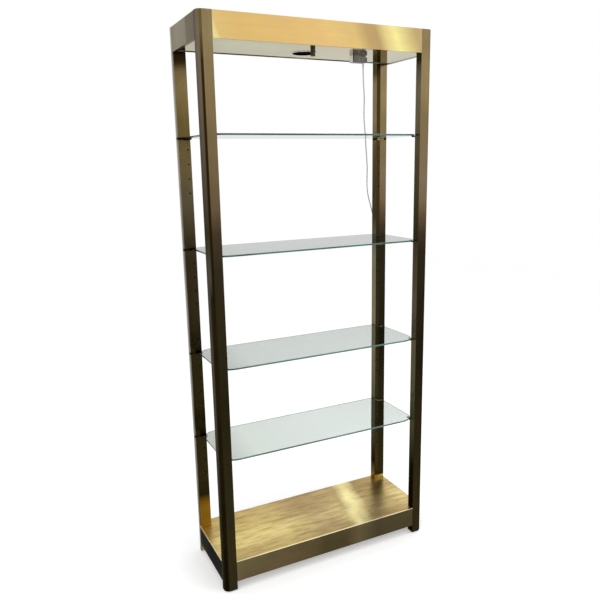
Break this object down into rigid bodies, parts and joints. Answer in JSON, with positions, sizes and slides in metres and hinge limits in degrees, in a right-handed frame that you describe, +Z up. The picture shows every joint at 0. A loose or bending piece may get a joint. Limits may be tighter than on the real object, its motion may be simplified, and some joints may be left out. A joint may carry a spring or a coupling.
{
  "type": "etagere",
  "caption": "Tall open display etagere: drilled rectangular brass posts, glass shelves on plug-in supports, brass base and a lighted canopy.",
  "frame": {"origin": "on the floor, under the middle of the object", "axes": "+X to the object's right as seen from its front, +Y to its rear, +Z up"},
  "size_m": [0.88, 0.425, 2],
  "materials": {
    "brass_bright": "polished sheet brass, light lacquer",
    "brass_aged": "polished brass tube with aged patina",
    "brass_deck": "polished sheet brass with wear",
    "brass_fitting": "turned brass",
    "glass_clear": "clear float glass, polished edges",
    "mirror_sheet": "mirror-polished plated sheet",
    "steel_plated": "zinc plated steel",
    "black_metal": "matt black paint inside",
    "bronze_knob": "bronze finished, fluted",
    "ceramic_white": "glazed ceramic",
    "lamp_glass": "reflector lamp glass",
    "grey_box": "grey moulded plastic",
    "terminal_plastic": "white nylon",
    "wire_insulation": "pvc insulation",
    "lead_grey": "light grey pvc lead",
    "rubber_clear": "soft rubber",
    "board_wood": "plywood",
    "glide_plastic": "black nylon pad on a steel stem"
  },
  "bodies": {
    "frame": {"post_front_left": "brass_aged", "post_front_right": "brass_aged", "post_rear_left": "brass_aged", "post_rear_right": "brass_aged", "post_top_caps": "brass_aged", "post_bottom_plugs": "steel_plated", "canopy_front_fascia": "brass_bright", "canopy_rear_apron": "brass_bright", "canopy_left_apron": "brass_aged", "canopy_right_apron": "brass_bright", "canopy_top_panel": "brass_bright", "canopy_panel_screws": "brass_fitting", "canopy_brackets": "steel_plated", "canopy_bracket_screws": "steel_plated", "soffit_panel": "mirror_sheet", "lamp_can": "black_metal", "lamp_baffle": "black_metal", "lamp_trim_ring": "mirror_sheet", "lampholder": "ceramic_white", "reflector_lamp": "lamp_glass", "switch_body": "black_metal", "switch_nut": "brass_fitting", "junction_box": "grey_box", "junction_box_bracket": "steel_plated", "junction_box_screw": "steel_plated", "terminal_block": "terminal_plastic", "wire_grommet": "wire_insulation", "canopy_wires": "wire_insulation", "cord_strain_relief": "lead_grey", "cord_lead": "lead_grey", "cord_coil": "lead_grey", "cord_tail": "lead_grey", "plug_body": "lead_grey", "plug_blades": "brass_fitting", "base_front_apron": "brass_aged", "base_rear_apron": "brass_aged", "base_left_apron": "brass_aged", "base_right_apron": "brass_aged", "base_deck": "brass_deck", "base_board": "board_wood", "base_brackets": "steel_plated", "base_bracket_screws": "steel_plated", "base_board_screws": "steel_plated", "shelf_supports_top": "brass_fitting", "shelf_supports_upper": "brass_fitting", "shelf_supports_lower": "brass_fitting", "shelf_supports_bottom": "brass_fitting", "shelf_pads": "rubber_clear"},
    "top_shelf": {"glass_shelf_top": "glass_clear"},
    "upper_shelf": {"glass_shelf_upper": "glass_clear"},
    "lower_shelf": {"glass_shelf_lower": "glass_clear"},
    "bottom_shelf": {"glass_shelf_bottom": "glass_clear"},
    "knob": {"switch_knob": "bronze_knob", "switch_shaft": "brass_fitting", "knob_set_screw": "steel_plated"},
    "glide_front_left": {"levelling_glide_front_left": "glide_plastic"},
    "glide_front_right": {"levelling_glide_front_right": "glide_plastic"},
    "glide_rear_left": {"levelling_glide_rear_left": "glide_plastic"},
    "glide_rear_right": {"levelling_glide_rear_right": "glide_plastic"}
  },
  "joints": [
    {"name": "top_shelf_lift", "type": "slide", "parent": "frame", "child": "top_shelf", "axis": [0, 0, 1], "range_m": [0, 0.04]},
    {"name": "upper_shelf_lift", "type": "slide", "parent": "frame", "child": "upper_shelf", "axis": [0, 0, 1], "range_m": [0, 0.04]},
    {"name": "lower_shelf_lift", "type": "slide", "parent": "frame", "child": "lower_shelf", "axis": [0, 0, 1], "range_m": [0, 0.04]},
    {"name": "bottom_shelf_lift", "type": "slide", "parent": "frame", "child": "bottom_shelf", "axis": [0, 0, 1], "range_m": [0, 0.04]},
    {"name": "knob_turn", "type": "hinge", "parent": "frame", "child": "knob", "pos_m": [0, -0.07, 1.91], "axis": [0, 0, 1], "continuous": true},
    {"name": "glide_front_left_screw", "type": "slide", "parent": "frame", "child": "glide_front_left", "axis": [0, 0, 1], "range_m": [-0.012, 0]},
    {"name": "glide_front_right_screw", "type": "slide", "parent": "frame", "child": "glide_front_right", "axis": [0, 0, 1], "range_m": [-0.012, 0]},
    {"name": "glide_rear_left_screw", "type": "slide", "parent": "frame", "child": "glide_rear_left", "axis": [0, 0, 1], "range_m": [-0.012, 0]},
    {"name": "glide_rear_right_screw", "type": "slide", "parent": "frame", "child": "glide_rear_right", "axis": [0, 0, 1], "range_m": [-0.012, 0]}
  ]
}
